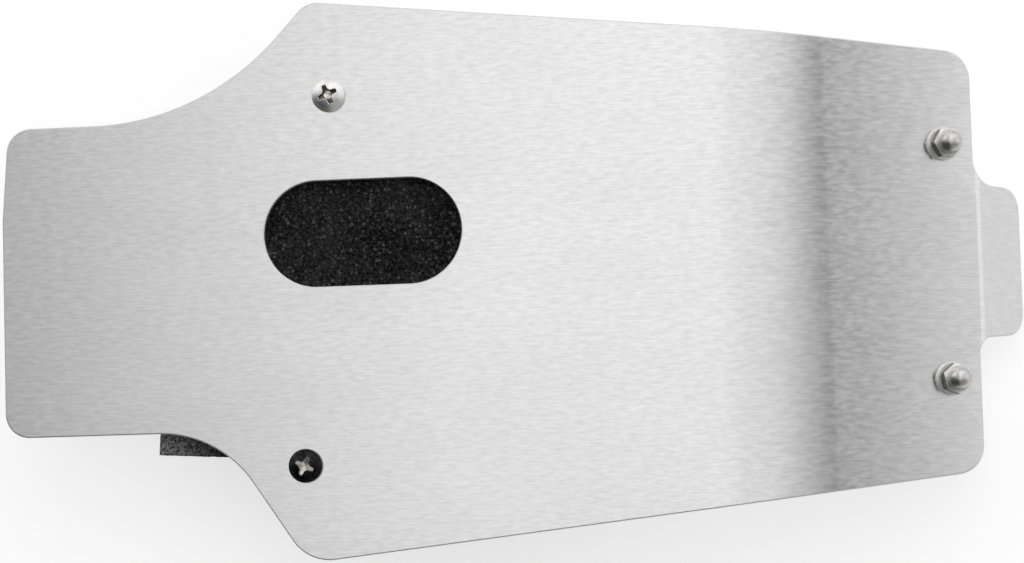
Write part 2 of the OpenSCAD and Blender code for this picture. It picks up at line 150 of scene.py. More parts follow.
def bent(u, v, depth):
    """The place of a point of the flat sheet: u along it, v across it, and depth under its outer face."""
    if u <= BEND_X:
        return Vector((u, v, -depth))
    if u <= FRONT_U:
        a = (u - BEND_X) / BEND_R
        r = BEND_R - depth
        return Vector((BEND_X + r * math.sin(a), v, -BEND_R + r * math.cos(a)))
    along = u - FRONT_U
    if along <= TAB_BEND_X:
        return on_front(Vector((along, v, -depth)))
    a = min((along - TAB_BEND_X) / TAB_BEND_R, TAB_A)
    r = TAB_BEND_R - depth
    past = max(u - TAB_U, 0)
    x = TAB_BEND_X + r * math.sin(a) + past * math.cos(TAB_A)
    z = -TAB_BEND_R + r * math.cos(a) - past * math.sin(TAB_A)
    return on_front(Vector((x, v, z)))


def on_front(p):
    """A point given in the plane of the bent front, as a point of the whole plate."""
    s, c = math.sin(BEND_A), math.cos(BEND_A)
    return Vector((FRONT_X0 + p.x * c + p.z * s, p.y, FRONT_Z0 - p.x * s + p.z * c))


def front_to_sheet(p):
    """The flat sheet's point over a point of the bent front's plane."""
    x, y = p
    if x <= TAB_BEND_X:
        return FRONT_U + x, y
    if x <= TAB_X0:
        return FRONT_U + TAB_BEND_X + TAB_BEND_R * math.asin((x - TAB_BEND_X) / TAB_BEND_R), y
    return TAB_U + (x - TAB_X0) / math.cos(TAB_A), y


def tab_to_sheet(p):
    """The flat sheet's point over a point of the tab's plane."""
    return TAB_U + p[0], p[1]


# Outlines

def half_w(x):
    return BODY_W / 2 - SIDE_SLOPE * (x - SHOULDER_X)


def tab_half(x):
    return TAB_ROOT_W / 2 - TAB_SLOPE * (x - FRONT_LEN)


def rounded(points, closed=False, chord=0.9):
    """Points along a line with round corners. Each vertex is x, y and the radius of its corner."""
    out = []
    n = len(points)
    for i, (x, y, r) in enumerate(points):
        at = Vector((x, y))
        if r == 0 or (not closed and i in (0, n - 1)):
            out.append(at)
            continue
        a = (Vector(points[i - 1][:2]) - at).normalized()
        b = (Vector(points[(i + 1) % n][:2]) - at).normalized()
        half = a.angle(b) / 2
        centre = at + (a + b).normalized() * (r / math.sin(half))
        start = at + a * (r / math.tan(half)) - centre
        turn = math.pi - 2 * half
        if a.x * b.y - a.y * b.x > 0:
            turn = -turn
        steps = max(6, math.ceil(abs(turn) * r / chord))
        for k in range(steps + 1):
            t = turn * k / steps
            c, s = math.cos(t), math.sin(t)
            out.append(centre + Vector((c * start.x - s * start.y, s * start.x + c * start.y)))
    return out


def spaced(points, gap, closed=True):
    """The same line with more points, none further apart than the gap."""
    out = []
    last = len(points) if closed else len(points) - 1
    for i in range(last):
        a, b = Vector(points[i]), Vector(points[(i + 1) % len(points)])
        steps = max(1, math.ceil((b - a).length / gap))
        out += [a.lerp(b, k / steps) for k in range(steps)]
    return out if closed else out + [Vector(points[-1])]


def bend_lines():
    """Where the sheet is creased into short flats, as distances along it."""
    main = [BEND_X + BEND_R * BEND_A * k / 20 for k in range(21)]
    tab = [FRONT_U + TAB_BEND_X + TAB_BEND_R * TAB_A * k / 10 for k in range(11)]
    return main, tab


def side_line(side, tail_r, flare_x, flare_r, shoulder_x, shoulder_r, tab_r):
    """One side of the sheet from the tail's edge to the middle of the tip, as points of the flat sheet."""
    tail_y = TAIL_W / 2 + side * TAIL_SHIFT
    tail_x = TAIL_LEAN if side > 0 else 0
    before_bend, join_front, before_tip, tip_start = BEND_X - 4, 20, TIP_X - 10, TAB_LEN - 9.5
    main, tab = bend_lines()
    plan = rounded([
        (0, side * TAIL_LEAN_Y, 0), (tail_x, side * tail_y, tail_r), (flare_x, side * tail_y, flare_r),
        (shoulder_x, side * half_w(shoulder_x), shoulder_r), (before_bend, side * half_w(before_bend), 0)])
    line = spaced(plan, EDGE_GAP, closed=False)
    line += [Vector((u, side * half_w(bent(u, 0, 0).x))) for u in main]
    corner_x = FRONT_X0 + FRONT_LEN * math.cos(BEND_A)
    start_x = FRONT_X0 + join_front * math.cos(BEND_A)
    front = rounded([
        (join_front, side * half_w(start_x), 0), (FRONT_LEN, side * half_w(corner_x), FRONT_R),
        (FRONT_LEN, side * TAB_ROOT_W / 2, tab_r), (before_tip, side * tab_half(before_tip), 0)], chord=0.4)
    front = [Vector(front_to_sheet(p)) for p in front]
    line += spaced(front, EDGE_GAP, closed=False)
    tip = rounded([
        (tip_start, side * tab_half(TAB_X0 + tip_start * math.cos(TAB_A)), 0),
        (TAB_LEN, side * TAB_TIP_W / 2, TAB_TIP_R), (TAB_LEN, 0, 0)], chord=0.5)
    line += spaced([Vector(tab_to_sheet(p)) for p in tip], TIP_GAP, closed=False)
    return line


def plate_outline():
    """The whole edge of the flat sheet, anticlockwise."""
    right = side_line(-1, TAIL_R, RIGHT_FLARE_X, RIGHT_FLARE_R, SHOULDER_X - SHOULDER_SKEW, RIGHT_SHOULDER_R,
                      TAB_RIGHT_R)
    left = side_line(1, TAIL_R, LEFT_FLARE_X, LEFT_FLARE_R, SHOULDER_X + SHOULDER_SKEW, LEFT_SHOULDER_R,
                     TAB_LEFT_R)
    return right[:-1] + left[::-1]


def circle_line(x, y, r, steps):
    return [Vector((x + r * math.cos(a), y + r * math.sin(a)))
            for a in (2 * math.pi * k / steps for k in range(steps))]


def slot_line():
    """The edge of the drain slot."""
    half = (SLOT_LEN - SLOT_W) / 2
    r = SLOT_W / 2
    steps = 60
    ends = []
    for end in (1, -1):
        for k in range(steps + 1):
            a = math.pi * (k / steps - 0.5) + (0 if end > 0 else math.pi)
            ends.append(Vector((SLOT_X + end * half + r * math.cos(a), SLOT_Y + r * math.sin(a))))
    return spaced(ends, SLOT_GAP)


# Meshes

def edge_normals(line, inside_out):
    """For each point of a closed line, the direction out of the material."""
    n = len(line)
    out = []
    for i in range(n):
        a, b = line[i] - line[i - 1], line[(i + 1) % n] - line[i]
        t = a.normalized() + b.normalized()
        d = Vector((t.y, -t.x)).normalized()
        out.append(-d if inside_out else d)
    return out


def slab(lines, rim, place, inner=(), across=()):
    """A plate with holes. lines are its closed edges, the outer one first, all anticlockwise. rim is the
    section of the edge, from the outer face down, as pairs of how far it lies in from the edge and how
    deep. inner are more points for the faces, and across pairs of outer points that are joined."""
    flat = []
    loops = []
    for k, line in enumerate(lines):
        normals = edge_normals(line, inside_out=k > 0)
        inset = rim[0][0]
        start = len(flat)
        flat += [p - d * inset for p, d in zip(line, normals)]
        loops.append(list(range(start, len(flat))))
    flat += [Vector(p) for p in inner]
    points, _, faces, from_points, _, from_faces = geometry.delaunay_2d_cdt(
        flat, list(across), loops, 0, 1e-6, True)
    keep = [f for f, owners in zip(faces, from_faces) if owners == [0]]
    new_of = {}
    for new, olds in enumerate(from_points):
        for old in olds:
            new_of[old] = new
    verts = [place(p.x, p.y, rim[0][1]) for p in points]
    under = len(verts)
    verts += [place(p.x, p.y, rim[-1][1]) for p in points]
    polygons = [tuple(f) for f in keep] + [tuple(under + i for i in reversed(f)) for f in keep]
    for k, line in enumerate(lines):
        normals = edge_normals(line, inside_out=k > 0)
        rings = [[new_of[i] for i in loops[k]]]
        for inset, depth in rim[1:-1]:
            rings.append(list(range(len(verts), len(verts) + len(line))))
            verts += [place(*(p - d * inset), depth) for p, d in zip(line, normals)]
        rings.append([under + new_of[i] for i in loops[k]])
        for top, low in zip(rings, rings[1:]):
            for i in range(len(line)):
                quad = (top[i - 1], low[i - 1], low[i], top[i])
                polygons.append(quad if k == 0 else quad[::-1])
    used = sorted({i for f in polygons for i in f})
    slim = {old: new for new, old in enumerate(used)}
    return [verts[i] for i in used], [tuple(slim[i] for i in f) for f in polygons]


def round_rim(depth, r, steps=5):
    """The section of an edge that is rounded on both faces."""
    top = [(r * (1 - math.sin(a)), r * (1 - math.cos(a)))
           for a in (math.pi / 2 * k / steps for k in range(steps + 1))]
    return top + [(inset, depth - z) for inset, z in reversed(top)]


def stack(rings, loop=False):
    """Faces that join rings with as many points each. The ends are closed, or the last meets the first."""
    verts = [p for ring in rings for p in ring]
    n = len(rings[0])
    count = len(rings)
    faces = []
    for k in range(count if loop else count - 1):
        a, b = k * n, (k + 1) % count * n
        for i in range(n):
            j = (i + 1) % n
            faces.append((a + i, a + j, b + j, b + i))
    if not loop:
        faces += [tuple(reversed(range(n))), tuple(range((count - 1) * n, count * n))]
    return verts, faces


def ring(z, r, steps):
    """A ring round the z axis. r is one radius or a function of the angle."""
    angles = [2 * math.pi * k / steps for k in range(steps)]
    return [Vector((q * math.cos(a), q * math.sin(a), z))
            for a, q in ((a, r(a) if callable(r) else r) for a in angles)]


def revolve(profile, steps=96):
    """A ring-shaped solid round the z axis, from the pairs of a radius and a height round its section."""
    return stack([ring(z, r, steps) for r, z in profile], loop=True)


def placed(shape, place):
    """The shape with each point moved by a function."""
    verts, faces = shape
    return [place(v) for v in verts], faces


def flipped(shape):
    """The shape with its faces turned over."""
    verts, faces = shape
    return verts, [f[::-1] for f in faces]


def piece(name, shape, node, slot, *materials):
    """Makes a Blender object of a shape that stands for a CAD node."""
    verts, faces = shape
    mesh = bpy.data.meshes.new(name)
    mesh.from_pydata([at_rest(v) for v in verts], [], faces)
    mesh.validate()
    mesh.update()
    mesh.polygons.foreach_set("use_smooth", [True] * len(mesh.polygons))
    for m in materials:
        mesh.materials.append(m)
    obj = bpy.data.objects.new(name, mesh)
    bpy.context.scene.collection.objects.link(obj)
    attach(obj, "root")
    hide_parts(node)
    return obj


def weighted(obj):
    """Keeps flat faces flat in the shading, next to small round edges."""
    m = obj.modifiers.new("flat_faces", "WEIGHTED_NORMAL")
    m.weight = 90
    m.keep_sharp = True
    return obj


# Materials

class Tree:
    """A short way to write a material's nodes."""

    def __init__(self, name):
        self.material = bpy.data.materials.new(name)
        self.material.use_nodes = True
        self.nodes = self.material.node_tree.nodes
        self.links = self.material.node_tree.links
        self.shader = self.nodes["Principled BSDF"]
        self.place = self.add("ShaderNodeTexCoord").outputs["Object"]

    def add(self, kind, **values):
        node = self.nodes.new(kind)
        for key, value in values.items():
            setattr(node, key, value)
        return node

    def feed(self, socket, value):
        """Links a value to a socket, or sets the socket to it."""
        if isinstance(value, bpy.types.NodeSocket):
            self.links.new(value, socket)
        else:
            socket.default_value = value

    def put(self, node, **inputs):
        for key, value in inputs.items():
            self.feed(node.inputs[key.replace("_", " ")], value)

    def x(self):
        """The place along the part, in metres."""
        n = self.add("ShaderNodeSeparateXYZ")
        self.links.new(self.place, n.inputs[0])
        return n.outputs["X"]

    def stretched(self, size):
        """The object's coordinates in units of a size in millimetres on each axis."""
        m = self.add("ShaderNodeMapping")
        self.put(m, Vector=self.place)
        m.inputs["Scale"].default_value = [1 / (s * MM) for s in size]
        return m.outputs["Vector"]

    def noise(self, size, detail=2.0, rough=0.5, distortion=0.0):
        n = self.add("ShaderNodeTexNoise")
        self.put(n, Vector=self.stretched(size), Scale=1.0, Detail=detail, Roughness=rough,
                 Distortion=distortion)
        return n.outputs["Fac"]

    def cells(self, size):
        n = self.add("ShaderNodeTexVoronoi")
        self.put(n, Vector=self.stretched(size), Scale=1.0)
        return n

    def ramp(self, value, low, high, to_low=0.0, to_high=1.0):
        n = self.add("ShaderNodeMapRange", clamp=True)
        for key, number in zip(("From Min", "From Max", "To Min", "To Max"), (low, high, to_low, to_high)):
            n.inputs[key].default_value = number
        self.links.new(value, n.inputs["Value"])
        return n.outputs["Result"]

    def mix(self, factor, a, b):
        n = self.add("ShaderNodeMix", data_type="RGBA")
        sockets = [s for s in n.inputs if s.type == "VALUE"][:1] + [s for s in n.inputs if s.type == "RGBA"]
        for socket, value in zip(sockets, (factor, a, b)):
            self.feed(socket, value)
        return [s for s in n.outputs if s.type == "RGBA"][0]

    def math(self, operation, a, b):
        n = self.add("ShaderNodeMath", operation=operation)
        for socket, value in zip(n.inputs, (a, b)):
            self.feed(socket, value)
        return n.outputs["Value"]

    def bump(self, height, depth, under=None):
        """Bump of a height from 0 to 1 that is a depth in millimetres high."""
        n = self.add("ShaderNodeBump")
        self.put(n, Strength=1.0, Distance=depth * MM, Height=height)
        if under is not None:
            self.links.new(under, n.inputs["Normal"])
        return n.outputs["Normal"]


def grey(v, warm=0.0):
    """A grey, or a little towards brown."""
    return (v * (1 + warm), v, v * (1 - warm), 1)


def brushed_sheet():
    """Aluminium brushed along its length: long fine scratches over short soft streaks, fainter on the tab."""
    t = Tree("brushed_aluminium")
    streaks = t.noise((3.9, 1.4, 4), detail=2, rough=0.45, distortion=0.1)
    scratches = t.noise((7, 0.5, 4), detail=2, rough=0.5)
    patches = t.noise((60, 25, 40), detail=2)
    tone = t.math("ADD", t.ramp(streaks, 0.3, 0.7, -0.55, 0.55), t.ramp(scratches, 0.3, 0.7, -0.4, 0.4))
    bend_x, tab_x = (at_rest(bent(u, 0, 0)).x for u in (FRONT_U + TAB_BEND_X - 3, TAB_U))
    tone = t.math("MULTIPLY", tone, t.ramp(t.x(), bend_x, tab_x, 1, 0.55))
    colour = t.mix(t.ramp(tone, -0.8, 0.8), grey(0.735), grey(0.925))
    rough = t.math("ADD", t.ramp(streaks, 0.3, 0.7, 0.19, 0.24), t.ramp(patches, 0.3, 0.7, -0.02, 0.02))
    normal = t.bump(scratches, 0.002, under=t.bump(streaks, 0.003))
    tangent = t.add("ShaderNodeTangent", direction_type="RADIAL", axis="Y")
    t.put(t.shader, Base_Color=colour, Metallic=1.0, Roughness=rough, Anisotropic=0.65,
          Anisotropic_Rotation=0.25, Normal=normal, Tangent=tangent.outputs["Tangent"])
    return t.material


def cut_edge():
    """The sawn and deburred edge of the sheet, with fine marks across its thickness."""
    t = Tree("cut_aluminium")
    marks = t.noise((0.35, 0.35, 6), detail=3, rough=0.6)
    grain = t.noise((0.1, 0.1, 0.1), detail=2)
    colour = t.mix(t.ramp(marks, 0.3, 0.7), grey(0.66), grey(0.86))
    t.put(t.shader, Base_Color=colour, Metallic=1.0, Roughness=t.ramp(marks, 0.3, 0.7, 0.3, 0.45),
          Normal=t.bump(marks, 0.03, under=t.bump(grain, 0.01)))
    return t.material


def foam_material():
    """Black open-cell foam: dark cells, painted glints on random cell walls, and a dusty rear end."""
    t = Tree("black_foam")
    cells = t.cells((1.35, 1.35, 1.35))
    fine = t.cells((0.6, 0.6, 0.6))
    grains = t.noise((0.85, 0.85, 0.85), detail=2, rough=0.6)
    patches = t.noise((18, 18, 18), detail=3)
    walls = t.ramp(cells.outputs["Distance"], 0.2, 0.7)
    depth = t.math("ADD", walls, t.ramp(fine.outputs["Distance"], 0.1, 0.8, 0, 0.4))
    grain = t.math("ADD", t.ramp(grains, 0.39, 0.68), t.ramp(patches, 0.35, 0.65, -0.16, 0.16))
    body = t.mix(grain, grey(0.0005), grey(0.04))
    # Painted highlight: random cells get pale walls, which stand in for glints of walls that catch the light.
    painted_glint_pick = t.ramp(cells.outputs["Color"], 0.5, 0.9)
    painted_glint = t.math("MULTIPLY", t.ramp(cells.outputs["Distance"], 0.15, 0.6, 1, 0), painted_glint_pick)
    clean = t.mix(painted_glint, body, grey(0.12))
    near_end, far_end = (at_rest((x, 0, 0)).x for x in DUST_X)
    end = t.ramp(t.x(), near_end, far_end, 1, 0)
    dust = t.math("MULTIPLY", t.math("MULTIPLY", end, end), t.ramp(grains, 0.38, 0.62, 0.12, 1))
    t.put(t.shader, Base_Color=t.mix(dust, clean, grey(0.33)), Roughness=t.ramp(painted_glint, 0, 1, 0.85, 0.5),
          Normal=t.bump(depth, 0.3))
    t.shader.inputs["Specular IOR Level"].default_value = 0.12
    return t.material


def plated(name, low, high, rough, marks=0.004, warm=0.01):
    """Plated steel with faint handling marks and small dull spots."""
    t = Tree(name)
    spots = t.noise((1.6, 1.6, 1.6), detail=2)
    lines = t.noise((0.4, 3, 0.4), detail=1)
    colour = t.mix(t.ramp(spots, 0.35, 0.7), grey(low, warm), grey(high, warm))
    t.put(t.shader, Base_Color=colour, Metallic=1.0, Roughness=t.ramp(spots, 0.3, 0.7, rough, rough + 0.08),
          Normal=t.bump(lines, marks))
    return t.material


def powder_coat():
    """Black powder coat with its fine orange peel."""
    t = Tree("black_powder_coat")
    peel = t.noise((0.6, 0.6, 0.6), detail=2)
    dust = t.noise((8, 8, 8), detail=4)
    colour = t.mix(t.ramp(dust, 0.45, 0.8), grey(0.018), grey(0.04))
    t.put(t.shader, Base_Color=colour, Roughness=t.ramp(dust, 0.3, 0.7, 0.38, 0.5), Normal=t.bump(peel, 0.05))
    return t.material


def nylon():
    """Blue nylon of the lock rings, a little rubbed."""
    t = Tree("blue_nylon")
    rub = t.noise((1.2, 1.2, 1.2), detail=3)
    colour = t.mix(t.ramp(rub, 0.4, 0.7), (0.03, 0.09, 0.4, 1), (0.06, 0.14, 0.5, 1))
    t.put(t.shader, Base_Color=colour, Roughness=t.ramp(rub, 0.3, 0.7, 0.35, 0.5), Normal=t.bump(rub, 0.03))
    return t.material


# Pieces

def make_plate(face, edge):
    outline = plate_outline()
    lines = [outline, slot_line()]
    lines += [circle_line(x, y, HOLE_D / 2, HOLE_STEPS) for x, y in SCREWS.values()]
    lines += [circle_line(FRONT_U + HOOK_X, side * HOOK_Y, HOLE_D / 2, HOLE_STEPS) for side in (1, -1)]
    main, tab = bend_lines()
    across = []
    for u in main:
        ends = [i for i, p in enumerate(outline) if abs(p.x - u) < TOUCH]
        if len(ends) == 2:
            across.append(tuple(ends))
    inner = [(u, v) for u in tab for v in TAB_ROWS]
    rim = round_rim(SHEET_T, RIM_R)
    shape = slab(lines, rim, bent, inner, across)
    obj = piece("skid_sheet", shape, "plate", "sheet", face, edge)
    # Only the rims have faces with four corners
    for p in obj.data.polygons:
        if len(p.vertices) == 4:
            p.material_index = 1
    return weighted(obj)


def foam_outline():
    """The edge of the foam, with the two cuts round the screws."""
    c, s = math.cos(FOAM_TURN), math.sin(FOAM_TURN)

    def turned(x, y):
        return Vector((FOAM_X + c * x - s * y, s * x + c * y))

    def along(side):
        sx, sy = SCREWS["left" if side > 0 else "right"]
        dx, dy = sx - FOAM_X, sy
        lx, ly = c * dx + s * dy, -s * dx + c * dy
        edge = side * FOAM_W / 2
        ends = [turned(FOAM_SHORT, edge), turned(FOAM_LEN, edge)]
        if FOAM_CUT_R - abs(edge - ly) < SHALLOW_CUT:
            return ends
        half = math.sqrt(FOAM_CUT_R ** 2 - (edge - ly) ** 2)
        a0 = math.atan2(edge - ly, -half)
        a1 = math.atan2(edge - ly, half)
        steps = 10
        arc = [turned(lx + FOAM_CUT_R * math.cos(a), ly + FOAM_CUT_R * math.sin(a))
               for a in (a0 + (a1 - a0) * k / steps for k in range(steps + 1))]
        return ends[:1] + arc + ends[1:]

    return spaced(along(-1) + along(1)[::-1], 1.0)


def make_foam(material):
    outline = foam_outline()
    low_x, high_x = min(p.x for p in outline), max(p.x for p in outline)
    low_y, high_y = min(p.y for p in outline), max(p.y for p in outline)
    normals = edge_normals(outline, False)
    inset = [p - d * FOAM_MARGIN for p, d in zip(outline, normals)]
    inner = []
    for j in range(int((high_y - low_y) / FOAM_GRID)):
        for i in range(int((high_x - low_x) / FOAM_GRID)):
            p = Vector((low_x + FOAM_GRID * (i + 0.5 * (j % 2)), low_y + FOAM_GRID * j))
            if inside(p, inset):
                inner.append(p)
    rim = round_rim(FOAM_T, FOAM_RIM_R, 2)
    first = FOAM_RIM_R + 1
    middle = [(0, z) for z in np.linspace(first, FOAM_T - first, 15)]
    rim = rim[:3] + middle + rim[3:]

    def place(x, y, depth):
        return Vector((x, y, -SHEET_T - depth))

    shape = slab([outline], rim, place, inner)
    obj = piece("foam_block", shape, "foam_pad", "foam", material)
    roughen(obj)
    return obj


def inside(p, poly):
    """Whether a point lies inside a closed line."""
    found = False
    for a, b in zip(poly, poly[1:] + poly[:1]):
        if (a.y > p.y) != (b.y > p.y) and p.x < a.x + (p.y - a.y) / (b.y - a.y) * (b.x - a.x):
            found = not found
    return found


def roughen(obj):
    """Sinks the foam's surface by its open cells."""
    mesh = obj.data
    normals = [v.normal.copy() for v in mesh.vertices]
    for v, n in zip(mesh.vertices, normals):
        cell = noise.voronoi(v.co / MM / CELL_SIZE)[0][0]
        v.co -= n * MM * CELL_DEPTH * min(cell, CELL_CAP)
    mesh.update()


def cross_depth(x, y, turn):
    """How deep the cross recess is at a point of the head."""
    c, s = math.cos(turn), math.sin(turn)
    a, b = abs(c * x + s * y), abs(c * y - s * x)
    along, aside = max(a, b), min(a, b)
    width = RECESS_W - RECESS_TAPER * along
    edge = min(max(aside - width, along - RECESS_HALF), math.hypot(along, aside) - RECESS_CORE)
    floor = RECESS_DEPTH * (1 - RECESS_RISE * (along / RECESS_HALF) ** 1.5)
    t = min(max(0.5 - edge / RECESS_FADE, 0), 1)
    return floor * t * t * (3 - 2 * t)


def thread_ring(z, r, steps, phase):
    """A ring of a screw thread: the radius falls and rises once for each turn."""
    def radius(a):
        t = (a / (2 * math.pi) + phase) % 1
        return r - THREAD_DEPTH * (1 - abs(2 * t - 1))

    return ring(z, radius, steps)


def thread_rings(length, start, steps):
    """Rings down a threaded shank from a height of -start to -length, with a chamfered end."""
    rings = []
    gap = PITCH / 6
    for k in range(int((length - start) / gap) + 1):
        z = start + k * gap
        r = min(THREAD_R, THREAD_R - CHAMFER + max(length - z, 0))
        rings.append(thread_ring(-z, r, steps, z / PITCH))
    return rings


def screw_shape(turn):
    """A pan-head screw with a cross recess, head upwards, its shank threaded."""
    steps, rows = 120, 59
    edge_r = HEAD_R - HEAD_EDGE
    head = []
    for k in range(1, rows + 1):
        r = edge_r * k / rows
        drop = HEAD_DOME_R - math.sqrt(HEAD_DOME_R ** 2 - r * r)
        head.append([Vector((p.x, p.y, p.z - cross_depth(p.x, p.y, turn)))
                     for p in ring(HEAD_H - drop, r, steps)])
    edge_z = HEAD_H - HEAD_DOME_R + math.sqrt(HEAD_DOME_R ** 2 - edge_r ** 2)
    side = [(HEAD_R - 0.1, edge_z - 0.12), (HEAD_R, edge_z - 0.35), (HEAD_R, 0.25), (HEAD_R - 0.08, 0.08),
            (HEAD_R - 0.3, 0), (THREAD_R + 0.05, 0)]
    head += [ring(z, r, steps) for r, z in side]
    return stack((head + thread_rings(SCREW_LEN, 0.1, steps))[::-1])


def hexagon_radius(half, soft=0.25):
    """The radius of a hexagon with slightly rounded corners, one at angle 0, as a function of the angle."""
    def radius(a):
        t = a % (math.pi / 3) - math.pi / 6
        sharp = half / math.cos(t)
        limit = half / math.cos(math.pi / 6) - soft * 1.35
        return sharp if sharp < limit else limit + soft * math.tanh((sharp - limit) / soft)
    return radius


def hexagon_rings(height, turn=0.0, steps=144):
    """Rings of a hexagon that is chamfered at both ends, from the bottom up."""
    side = hexagon_radius(NUT_W / 2)
    flat = NUT_W / 2 * 0.97
    corner = NUT_W / 2 / math.cos(math.pi / 6)
    rings = []
    for z in (CHAMFER * k / 8 for k in range(9)):
        cone = flat + (corner - flat) * z / CHAMFER
        rings.append(ring(z, lambda a, cone=cone: min(side(a - turn), cone), steps))
    return rings + [[Vector((p.x, p.y, height - p.z)) for p in r] for r in reversed(rings)]


def cap_nut_shape(turn):
    """A domed cap nut with its open bore at the bottom."""
    steps = 144
    roof = ROD_TOP - WASHER_T + 0.2
    rings = [ring(roof, BORE_R * 0.5, steps), ring(roof, BORE_R, steps),
             ring(0.3, BORE_R, steps), ring(0, BORE_R + 0.3, steps)]
    rings += hexagon_rings(CAP_HEX_H, turn, steps)
    z = CAP_HEX_H
    rings += [ring(h, r, steps) for r, h in (
        (COLLAR_R + 0.1, z), (COLLAR_R, z + 0.1),
        (COLLAR_R, z + COLLAR_H - 0.15), (COLLAR_R - 0.15, z + COLLAR_H))]
    base = z + COLLAR_H
    rings += [ring(h, r, steps) for r, h in ((DOME_R + 0.1, base + 0.02), (DOME_R, base + 0.12))]
    wall = base + DOME_WALL
    for a in (math.pi / 2 * k / 22 for k in range(22)):
        rings.append(ring(wall + DOME_R * math.sin(a), DOME_R * math.cos(a), steps))
    return stack(rings)


def lock_nut_shape():
    """A lock nut: hexagon, round crown, and the seat of its plastic ring."""
    steps = 144
    rings = hexagon_rings(NUT_H)
    top = NUT_H + CROWN_H
    outer = [(CROWN_R + 0.1, NUT_H), (CROWN_R, NUT_H + 0.12), (CROWN_R, top - 0.8),
             (CROWN_R - 0.25, top - 0.3), (CROWN_R - 0.7, top)]
    inner = [(BORE_R + 0.55, top), (BORE_R + 0.5, top - 0.15), (BORE_R + 0.5, NUT_H + RING_H),
             (RING_R, NUT_H + RING_H), (RING_R, NUT_H), (BORE_R, NUT_H), (BORE_R, 0.3), (BORE_R + 0.3, 0)]
    rings += [ring(z, r, steps) for r, z in outer + inner]
    return stack(rings, loop=True)


def washer_shape():
    r = 0.15
    hole = HOLE_D / 2
    profile = [(hole + r, 0), (WASHER_R - r, 0), (WASHER_R - r * 0.3, r * 0.3), (WASHER_R, r),
               (WASHER_R, WASHER_T - r), (WASHER_R - r * 0.3, WASHER_T - r * 0.3), (WASHER_R - r, WASHER_T),
               (hole + r, WASHER_T), (hole + r * 0.3, WASHER_T - r * 0.3), (hole, WASHER_T - r), (hole, r),
               (hole + r * 0.3, r * 0.3)]
    return revolve(profile)


def lock_ring_shape():
    r = RING_R - 0.1
    profile = [(BORE_R + 0.1, NUT_H), (r - 0.1, NUT_H), (r, NUT_H + 0.1), (r, NUT_H + RING_H - 0.15),
               (r - 0.1, NUT_H + RING_H - 0.05), (BORE_R + 0.1, NUT_H + RING_H - 0.05),
               (BORE_R, NUT_H + RING_H - 0.15), (BORE_R, NUT_H + 0.1)]
    return revolve(profile)


def claw_shape():
    """A flat strip with a hole, laid along the claw's line: down the leg, round to the web, over the crest
    and round the saddle. It is drawn with the screw at x 0 and y 0, and its saddle towards -y."""
    half = STRIP_T / 2
    leg = -SHEET_T - (WEB_Z + STRIP_R)
    quarter = STRIP_R * math.pi / 2
    web = 2 * WEB_HALF
    crest = STRIP_R * (math.pi / 2 - CREST_A)
    saddle = SADDLE_R * SADDLE_WRAP
    total = leg + quarter + web + crest + saddle
    leg_y = WEB_HALF + STRIP_R
    rail_y = -WEB_HALF - (STRIP_R + SADDLE_R) * math.cos(CREST_A)

    def line(u):
        """The middle line's point and its direction out of the strip, at a distance along it."""
        if u <= leg:
            return (leg_y, -SHEET_T - u), (1, 0)
        u -= leg
        if u <= quarter:
            c, s = math.cos(u / STRIP_R), math.sin(u / STRIP_R)
            return (WEB_HALF + STRIP_R * c, WEB_Z + STRIP_R - STRIP_R * s), (c, -s)
        u -= quarter
        if u <= web:
            return (WEB_HALF - u, WEB_Z), (0, -1)
        u -= web
        if u <= crest:
            a = math.pi / 2 + u / STRIP_R
            out = (math.cos(a), math.sin(a))
            return (-WEB_HALF + STRIP_R * out[0], WEB_Z - STRIP_R + STRIP_R * out[1]), (-out[0], -out[1])
        a = -CREST_A - (u - crest) / SADDLE_R
        out = (math.cos(a), math.sin(a))
        return (rail_y + SADDLE_R * out[0], RAIL_Z + SADDLE_R * out[1]), out

    def place(u, x, depth):
        (y, z), (ny, nz) = line(min(max(u, 0), total))
        d = half - depth
        return Vector((x, y + ny * d, z + nz * d))

    w = STRIP_W / 2
    corners = rounded([(0, -w, 0.8), (total, -w, 2), (total, w, 2), (0, w, 0.8)], closed=True)
    outline = spaced(corners, 1.0)
    hole_u = leg + quarter + WEB_HALF
    hole = circle_line(hole_u, 0, HOLE_D / 2, HOLE_STEPS)
    inner = [(u, x) for u in np.arange(1.5, total - 1.5, 1.0) for x in (-5.5, 5.5)]
    return flipped(slab([outline, hole], round_rim(STRIP_T, 0.5), place, inner))


def hook_shape():
    """A rod bent into a J: threaded up through the sheet, round the tube's underside and up again."""
    steps, bend_steps = 48, 48
    gap = PITCH / 8
    rings = []
    for k in range(int(HOOK_THREAD / gap) + 1):
        r = min(THREAD_R, THREAD_R - CHAMFER + k * gap)
        rings.append(thread_ring(ROD_TOP - k * gap, r, steps, k * gap / PITCH))
    z = ROD_TOP - HOOK_THREAD - 0.6
    rings += [ring(z, THREAD_R - 0.15, steps), ring(z - 0.6, THREAD_R, steps)]
    angles = [2 * math.pi * i / steps for i in range(steps)]
    for k in range(bend_steps + 1):
        c, s = math.cos(math.pi * k / bend_steps), math.sin(math.pi * k / bend_steps)
        out = [(THREAD_R * math.cos(t), BEND_MID_R + THREAD_R * math.sin(t)) for t in angles]
        rings.append([Vector((x, -BEND_MID_R + r * c, TUBE_Z - r * s)) for x, r in out])
    for rise, r in ((HOOK_TIP - CHAMFER, THREAD_R), (HOOK_TIP, THREAD_R - CHAMFER)):
        rings.append([Vector((r * math.cos(t), -2 * BEND_MID_R - r * math.sin(t), TUBE_Z + rise))
                      for t in angles])
    return flipped(stack(rings))


def mirrored(shape):
    """The same shape on the other side of the x axis."""
    return flipped(placed(shape, lambda v: Vector((v.x, -v.y, v.z))))


